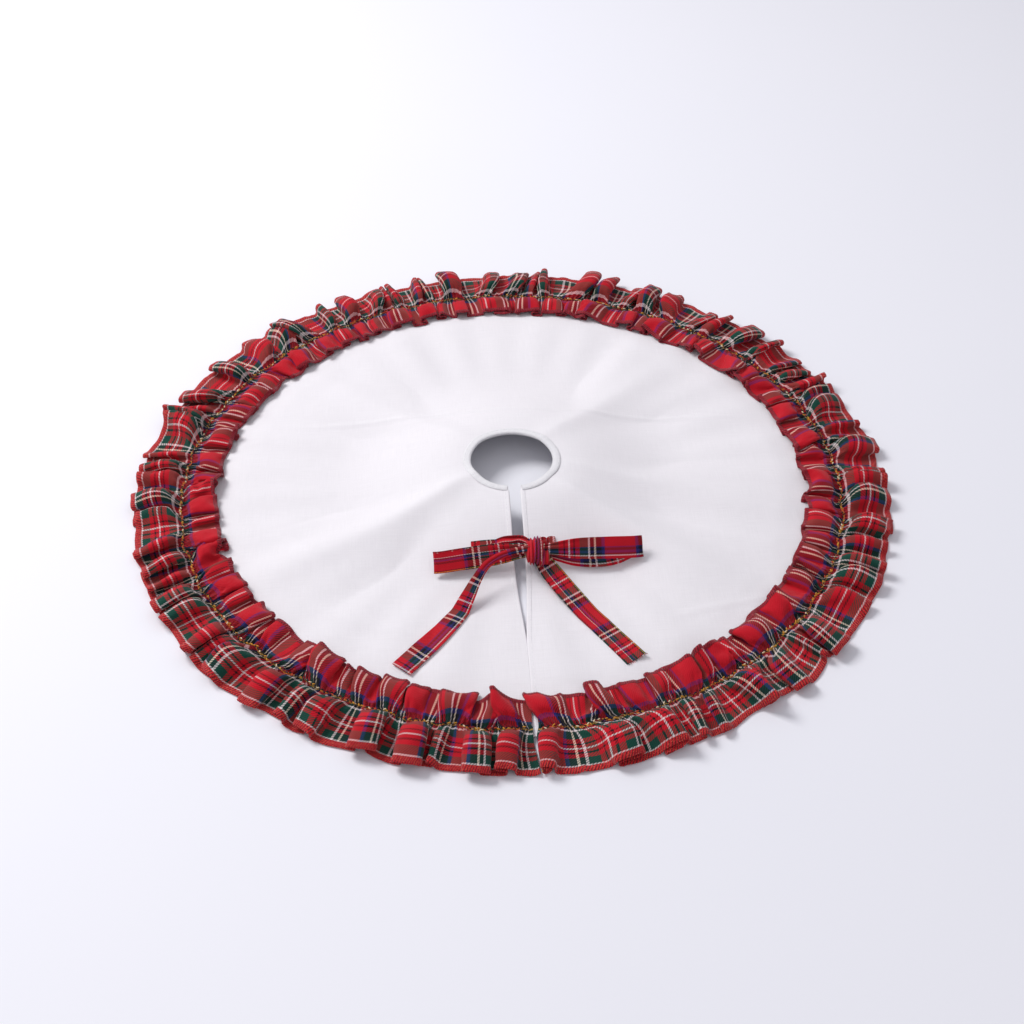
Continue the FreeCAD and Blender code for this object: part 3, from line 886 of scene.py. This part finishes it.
def rest_on_panel(grid, gap, angles=(0.0,)):
    """Keeps a ribbon from sinking into the panel below it, wherever these angles turn it about the knot."""
    aside = grid[..., :2] - KNOT[:2]
    heights = []
    for angle in angles:
        x = KNOT[0] + aside[..., 0] * math.cos(angle) - aside[..., 1] * math.sin(angle)
        y = KNOT[1] + aside[..., 0] * math.sin(angle) + aside[..., 1] * math.cos(angle)
        heights.append(cloth_height(x, y))
    floor = np.max(heights, axis=0) + PANEL_TOP + gap
    resting = grid.copy()
    resting[..., 2] = np.maximum(grid[..., 2], floor)
    return resting


def edge_stitches(name, grid, share, material, lift, gap=3.0):
    """A row of stitches along a ribbon at a share of its width, from one edge (0) to the other (1)."""
    column = share * (grid.shape[1] - 1)
    k = int(column)
    line = grid[:, k] * (1 - column + k) + grid[:, min(k + 1, grid.shape[1] - 1)] * (column - k)
    face = normals(grid)[:, k]
    at = np.arange(line[0, 3] + 1.5, line[-1, 3] - 1.0, gap)
    centres = np.stack([np.interp(at, line[:, 3], line[:, axis]) for axis in range(3)], -1)
    ups = np.stack([np.interp(at, line[:, 3], face[:, axis]) for axis in range(3)], -1)
    directions = np.gradient(centres, axis=0)
    return stitches(name, centres + unit(ups) * lift, directions, ups, 2.0, 0.22, material)


def sewn_ribbon(name, grid, body, cloth, cloths):
    """A ribbon with a row of stitches down one edge."""
    ribbon = shell(name, grid, TAPE, cloth)
    attach(ribbon, body, "tartan_ribbon", name)
    sewing = edge_stitches(name + "_stitches", grid, 0.94, cloths["red_thread"], TAPE / 2 + 0.05)
    attach(sewing, body, "tie_thread")


def loop_stations(tip, plan):
    """A bow loop. plan gives, from the knot out to the tip and back: distance outward (from the tip if
    negative), distance towards the front, height over the knot, tilt in degrees, width share and ripple."""
    out = np.array([tip[0] - KNOT[0], tip[1] - KNOT[1], 0.0])
    length = np.linalg.norm(out)
    out = out / length
    front = np.cross(out, [0, 0, 1.0]) * np.sign(out[0])
    stations = []
    for distance, forward, up, tilt, share, ripple in plan:
        along = distance if distance > 0 else length + distance
        lean = math.radians(tilt)
        side = -front * math.cos(lean) + np.array([0, 0, math.sin(lean)])
        place = KNOT + out * along + front * forward + np.array([0, 0, up])
        stations.append((*place, *side, share, ripple))
    return stations


# Each loop's front layer out to the tip, then its rear layer back to the knot
LEFT_LOOP = [
    (6, 1, 4, 60, 0.45, 1.6), (20, 3, 5, 54, 0.68, 1.4), (46, 4, 2.5, 50, 0.95, 0.6), (80, 3, -2, 47, 1, 0),
    (-10, 2.5, -6, 46, 1, 0), (-0.5, 1, -7.5, 46, 1, 0), (-10, -1.5, -10, 45, 1, 0), (80, -1.5, -7, 46, 1, 0),
    (46, -1.5, -2, 48, 0.95, 0.4), (20, 0, 0, 52, 0.6, 1.2), (6, 0, 0.5, 55, 0.42, 1.4),
]
RIGHT_LOOP = [
    (6, 0, 3, 60, 0.42, 1.5), (20, 2, 3, 55, 0.6, 1.3), (46, 3.5, 3, 50, 0.92, 0.4), (78, 3.5, 1, 47, 1, 0),
    (-14, 3, -1.5, 46, 1, 0), (-1, 1, -3.5, 46, 1, 0), (-14, -1, -8, 44, 1, 0), (78, 4.5, -11, 32, 1, 0),
    (46, 4, -9, 36, 0.9, 0.4), (20, 1.5, -4, 45, 0.55, 1.2), (6, 0, -1, 50, 0.42, 1.4),
]


def around_knot(offsets):
    """Ribbon stations given as offsets from the knot."""
    return [(KNOT[0] + x, KNOT[1] + y, KNOT[2] + z, *side, share, ripple)
            for (x, y, z), side, share, ripple in offsets]


def make_bow(cloths):
    """Each tie makes one loop and, beyond the knot, the tail on the other side."""
    left_tip = (box_mm("bow_loop_left")[0][0] + 9, KNOT[1] - 3)
    right_tip = (box_mm("bow_loop_right")[1][0] + 3, KNOT[1] + 6)
    left = ribbon_grid(loop_stations(left_tip, LEFT_LOOP), 83.0, -1)
    right = ribbon_grid(loop_stations(right_tip, RIGHT_LOOP), 87.0, -1)
    left = rest_on_panel(left, LOOP_GAP, swing_angles("left_loop"))
    right = rest_on_panel(right, LOOP_GAP, swing_angles("right_loop"))
    sewn_ribbon("bow_loop_left", left, "left_loop", cloths["tie_b"], cloths)
    sewn_ribbon("bow_loop_right", right, "right_loop", cloths["tie_a"], cloths)

    low, _ = box_mm("bow_tail_left")
    end = np.array([low[0] + 7, low[1] + 12]) - KNOT[:2]
    level = 3.4 - KNOT[2]
    stations = around_knot([
        ((-3, -3, 7.5), (0.3, -0.68, -0.6), 0.3, 0.9), ((-20, -9, 11), (0.3, -0.68, -0.6), 0.3, 0.8),
        ((-40, -16, 11), (0.3, -0.68, -0.6), 0.3, 0.7), ((-57, -25, 6), (0.42, -0.66, -0.55), 0.34, 0.5),
        ((-69, -38, -3), (0.62, -0.62, -0.35), 0.46, 0.3), ((-80, -56, -13), (0.76, -0.55, -0.15), 0.66, 0.0),
        ((-95, -80, level), (0.86, -0.5, 0.0), 0.88, 0.0),
        ((-119, -112, level), (0.88, -0.48, 0.0), 1.0, 0.0),
        ((end[0], end[1], level), (0.88, -0.48, 0.0), 1.0, 0.0),
    ])
    grid = rest_on_panel(ribbon_grid(stations, 10.0), TAIL_GAP, swing_angles("left_tail"))
    sewn_ribbon("bow_tail_left", grid, "left_tail", cloths["tie_a"], cloths)

    low, high = box_mm("bow_tail_right")
    end = np.array([high[0] - 17, low[1] + 4]) - KNOT[:2]
    stations = around_knot([
        ((4, -5, -2), (0.9, 0.4, 0.15), 0.6, 1.2), ((10, -14, -7), (0.88, 0.45, 0.15), 0.85, 0.7),
        ((20, -29, -13), (0.86, 0.5, 0.1), 0.97, 0.2), ((37, -56, -19), (0.84, 0.54, 0.05), 1.0, 0.0),
        ((63, -98, level), (0.82, 0.57, 0.0), 1.0, 0.0),
        ((end[0], end[1], level), (0.82, 0.57, 0.0), 1.0, 0.0),
    ])
    grid = rest_on_panel(ribbon_grid(stations, 79.0), TAIL_GAP, swing_angles("right_tail"))
    sewn_ribbon("bow_tail_right", grid, "right_tail", cloths["tie_b"], cloths)
    make_fray("bow_tail_right_fray", grid, "right_tail", cloths)
    make_tie_roots(cloths)
    make_knot(cloths)


def make_fray(name, grid, body, cloths):
    """Loose yarns at a cut end."""
    random = np.random.default_rng(4)
    end = grid[-1, :, :3]
    outward = unit(grid[-1, :, :3] - grid[-3, :, :3])
    count = 34
    k = random.integers(0, len(end), count)
    spread = random.standard_normal((count, 3)) * [0.45, 0.45, 0.12]
    directions = unit(outward[k] + spread)
    centres = end[k] + directions * 1.1 + random.uniform(-0.5, 0.5, (count, 3)) * [1, 1, 0.4]
    fray = stitches(name, centres, directions, upright(count), 3.4, 0.16, cloths["fray_thread"], 9)
    attach(fray, body, "tartan_ribbon")


def make_tie_roots(cloths):
    """The flat ends of the two ties beside the slit, sewn down, and gathered where they enter the knot."""
    across = (0.0, 1.0, 0.15)
    crumpled = (0.1, 0.8, 0.6)
    low, high = box_mm("tie_root_left")
    middle = (low[1] + high[1]) / 2 + 3
    left = [
        (low[0], middle, 0, *across, 1.0, 0.0), (low[0] + 14, middle, 2, *across, 1.0, 0.3),
        (low[0] + 30, middle, 21.0, *across, 0.95, 1.0), (-8, middle - 1, 24.5, *crumpled, 0.85, 2.0),
        (2, middle - 3, 28.0, *crumpled, 0.7, 2.6),
        (KNOT[0] - 5, KNOT[1] + 4, KNOT[2] + 3, *crumpled, 0.5, 1.6),
    ]
    low, high = box_mm("tie_root_right")
    middle = (low[1] + high[1]) / 2
    right = [
        (KNOT[0] + 3, KNOT[1] + 5, KNOT[2], *across, 0.5, 1.2),
        (KNOT[0] + 13, middle - 2, 22.0, *across, 0.85, 0.6), (high[0] - 10, middle, 2, *across, 1.0, 0.0),
        (high[0] - 4, middle, 0, *across, 1.0, 0.0),
    ]
    for side, stations, start, cloth in (("left", left, 2.0, "tie_b"), ("right", right, 100.0, "tie_a")):
        grid = rest_on_panel(ribbon_grid(stations, start, -1), 1.3)
        root = shell("tie_root_" + side, grid, TAPE, cloths[cloth])
        attach(root, "skirt", "tartan_ribbon", "tie_root_" + side)
        row, inward = (grid[2], 3.2) if side == "left" else (grid[-3], -3.2)
        lines = [row[1:-1, :3] + np.array([step, 0, TAPE / 2 + 0.1]) for step in (0.0, inward)]
        centres = np.concatenate(lines)
        directions = np.concatenate([np.gradient(line, axis=0) for line in lines])
        bar = stitches("tie_stitch_" + side, centres, directions, upright(len(centres)), 1.3, 0.3,
                       cloths["red_thread"])
        attach(bar, "skirt", "tie_thread", "tie_stitch_" + side)


def make_knot(cloths):
    """The knot: a ribbon wrapped round the middle of the bow in pleats, and a narrower turn below it."""
    knot = wrap("bow_knot", (-1.5, 0.0, 1.0), (20, 36, 23), 2.6, 34.0, cloths["tie_a"])
    turn = wrap("bow_knot_turn", (8.5, -7.5, -2.5), (13, 24, 13), 1.3, 30.0, cloths["tie_b"])
    for piece in (knot, turn):
        attach(piece, "skirt", "tartan_ribbon", "bow_knot")


def wrap(name, offset, size, pleats, start_along, cloth):
    """One turn of ribbon round the bow's middle: a barrel along X with pleats that run round it."""
    stations = np.linspace(-1.0, 1.0, 61)
    turn = np.linspace(0, TAU, 84, endpoint=False)
    centre = KNOT + np.array(offset)
    rings, points = [], []
    for t in stations:
        swell = 0.32 + 0.68 * math.sqrt(max(0.0, 1 - abs(t) ** 3.4))
        pleat = 1 + 0.11 * math.cos(TAU * pleats * t + 0.9) * swell + 0.02 * math.cos(TAU * 4.3 * t)
        wobble = 1 + 0.04 * np.sin(2 * turn + 2.2 * t + offset[0]) + 0.025 * np.sin(5 * turn - 3 * t)
        x = centre[0] + size[0] / 2 * t + 1.8 * np.sin(turn + 0.6) * (1 - abs(t))
        y = centre[1] + size[1] / 2 * swell * pleat * wobble * np.cos(turn) + 1.2 * t
        z = centre[2] + size[2] / 2 * swell * pleat * wobble * np.sin(turn)
        rings.append(np.stack([x, y, z], -1))
        points.append(np.stack([turn * 11.0 + start_along, np.full_like(turn, (t + 1) * RIBBON / 2),
                                np.zeros_like(turn)], -1))
    return tube(name, np.stack(rings)[:, ::-1], np.stack(points)[:, ::-1], cloth, 60)


# ---------------------------------------------------------------- floor, light, camera

def make_stage():
    shader = Shader("pale_floor", roughness=0.6, sheen=0.0)
    place = shader.node("ShaderNodeNewGeometry").outputs["Position"]
    mottle = shader.noise(place, 1.2, 2.0)
    shader.colour(shader.mix(mottle, linear((243, 242, 248)), linear((239, 239, 246))))
    mesh = bpy.data.meshes.new("floor")
    corners = [(x * FLOOR_REACH, y * FLOOR_REACH, 0) for x, y in ((-1, -1), (1, -1), (1, 1), (-1, 1))]
    mesh.from_pydata(corners, [], [(0, 1, 2, 3)])
    mesh.materials.append(shader.material)
    floor = bpy.data.objects.new("floor", mesh)
    bpy.context.scene.collection.objects.link(floor)

    world = bpy.data.worlds.new("studio")
    world.use_nodes = True
    background = world.node_tree.nodes["Background"]
    background.inputs[0].default_value = SKY_COLOUR
    background.inputs[1].default_value = SKY_STRENGTH
    bpy.context.scene.world = world
    add_light("key", *KEY_LAMP)
    add_light("fill", *FILL_LAMP)


def add_light(name, place, size, power):
    light = bpy.data.lights.new(name, "AREA")
    light.size = size
    light.energy = power
    lamp = bpy.data.objects.new(name, light)
    lamp.location = place
    lamp.rotation_euler = (-Vector(place)).to_track_quat("-Z", "Y").to_euler()
    bpy.context.scene.collection.objects.link(lamp)


def make_camera():
    """The camera stands in front, a little to the left of the slit, and looks down at the opening."""
    camera = bpy.data.cameras.new("camera")
    camera.lens = LENS
    camera.shift_x = LENS_SHIFT
    stand = bpy.data.objects.new("camera", camera)
    turn = math.radians(CAMERA_TURN)
    stand.location = (-math.sin(turn) * CAMERA_AWAY, -math.cos(turn) * CAMERA_AWAY, CAMERA_HEIGHT)
    stand.rotation_euler = (math.radians(90 - CAMERA_DROP), 0.0, -turn)
    bpy.context.scene.collection.objects.link(stand)
    bpy.context.scene.camera = stand


# ---------------------------------------------------------------- everything

def make_cloths():
    thread_red, thread_cream = linear((170, 20, 34)), linear((226, 214, 206))
    return {
        "linen": linen("white_linen", (245, 241, 245)),
        "lining": linen("white_lining", (232, 231, 234), 0.7),
        "binding": linen("binding_tape", (240, 238, 241), 0.6),
        "ruffle": tartan("tartan_ruffle", WEFT, SETT_ACROSS, GOLD_LINE, 0.13),
        "tie_a": tartan("tartan_tie_a", TIE_A, RIBBON, 0.5),
        "tie_b": tartan("tartan_tie_b", TIE_B, RIBBON, 0.5),
        # the first colour of each overlock is painted shade for the grooves between its thread loops
        "outer_overlock": overlock("overlock_bright", (84, 6, 18), (194, 22, 36), (222, 104, 74)),
        "inner_overlock": overlock("overlock_dark", (60, 4, 16), (150, 14, 36), (190, 60, 70)),
        "gather_thread": thread("gather_thread", [
            (0.0, linear((20, 18, 26))), (0.32, linear((204, 142, 48))), (0.50, linear((190, 70, 38))),
            (0.62, linear((30, 24, 40))), (0.74, linear((228, 210, 176))), (0.86, linear((120, 24, 34))),
        ]),
        "white_thread": thread("white_thread", [
            (0.0, linear((244, 242, 244))), (0.5, linear((232, 230, 234))),
        ]),
        "red_thread": thread("red_thread", [
            (0.0, thread_red), (0.45, linear((200, 40, 50))), (0.8, thread_cream),
        ]),
        "fray_thread": thread("fray_thread", [
            (0.0, linear((206, 30, 44))), (0.5, thread_cream), (0.75, linear((24, 60, 56))),
        ]),
    }


bpy.context.scene.view_settings.view_transform = "Standard"
cloths = make_cloths()
make_disc(cloths)
for side, name in ((-1, "left"), (1, "right")):
    make_slit_hem(side, name, cloths)
make_binding(cloths)
make_ruffle(cloths)
make_bow(cloths)
make_stage()
make_camera()
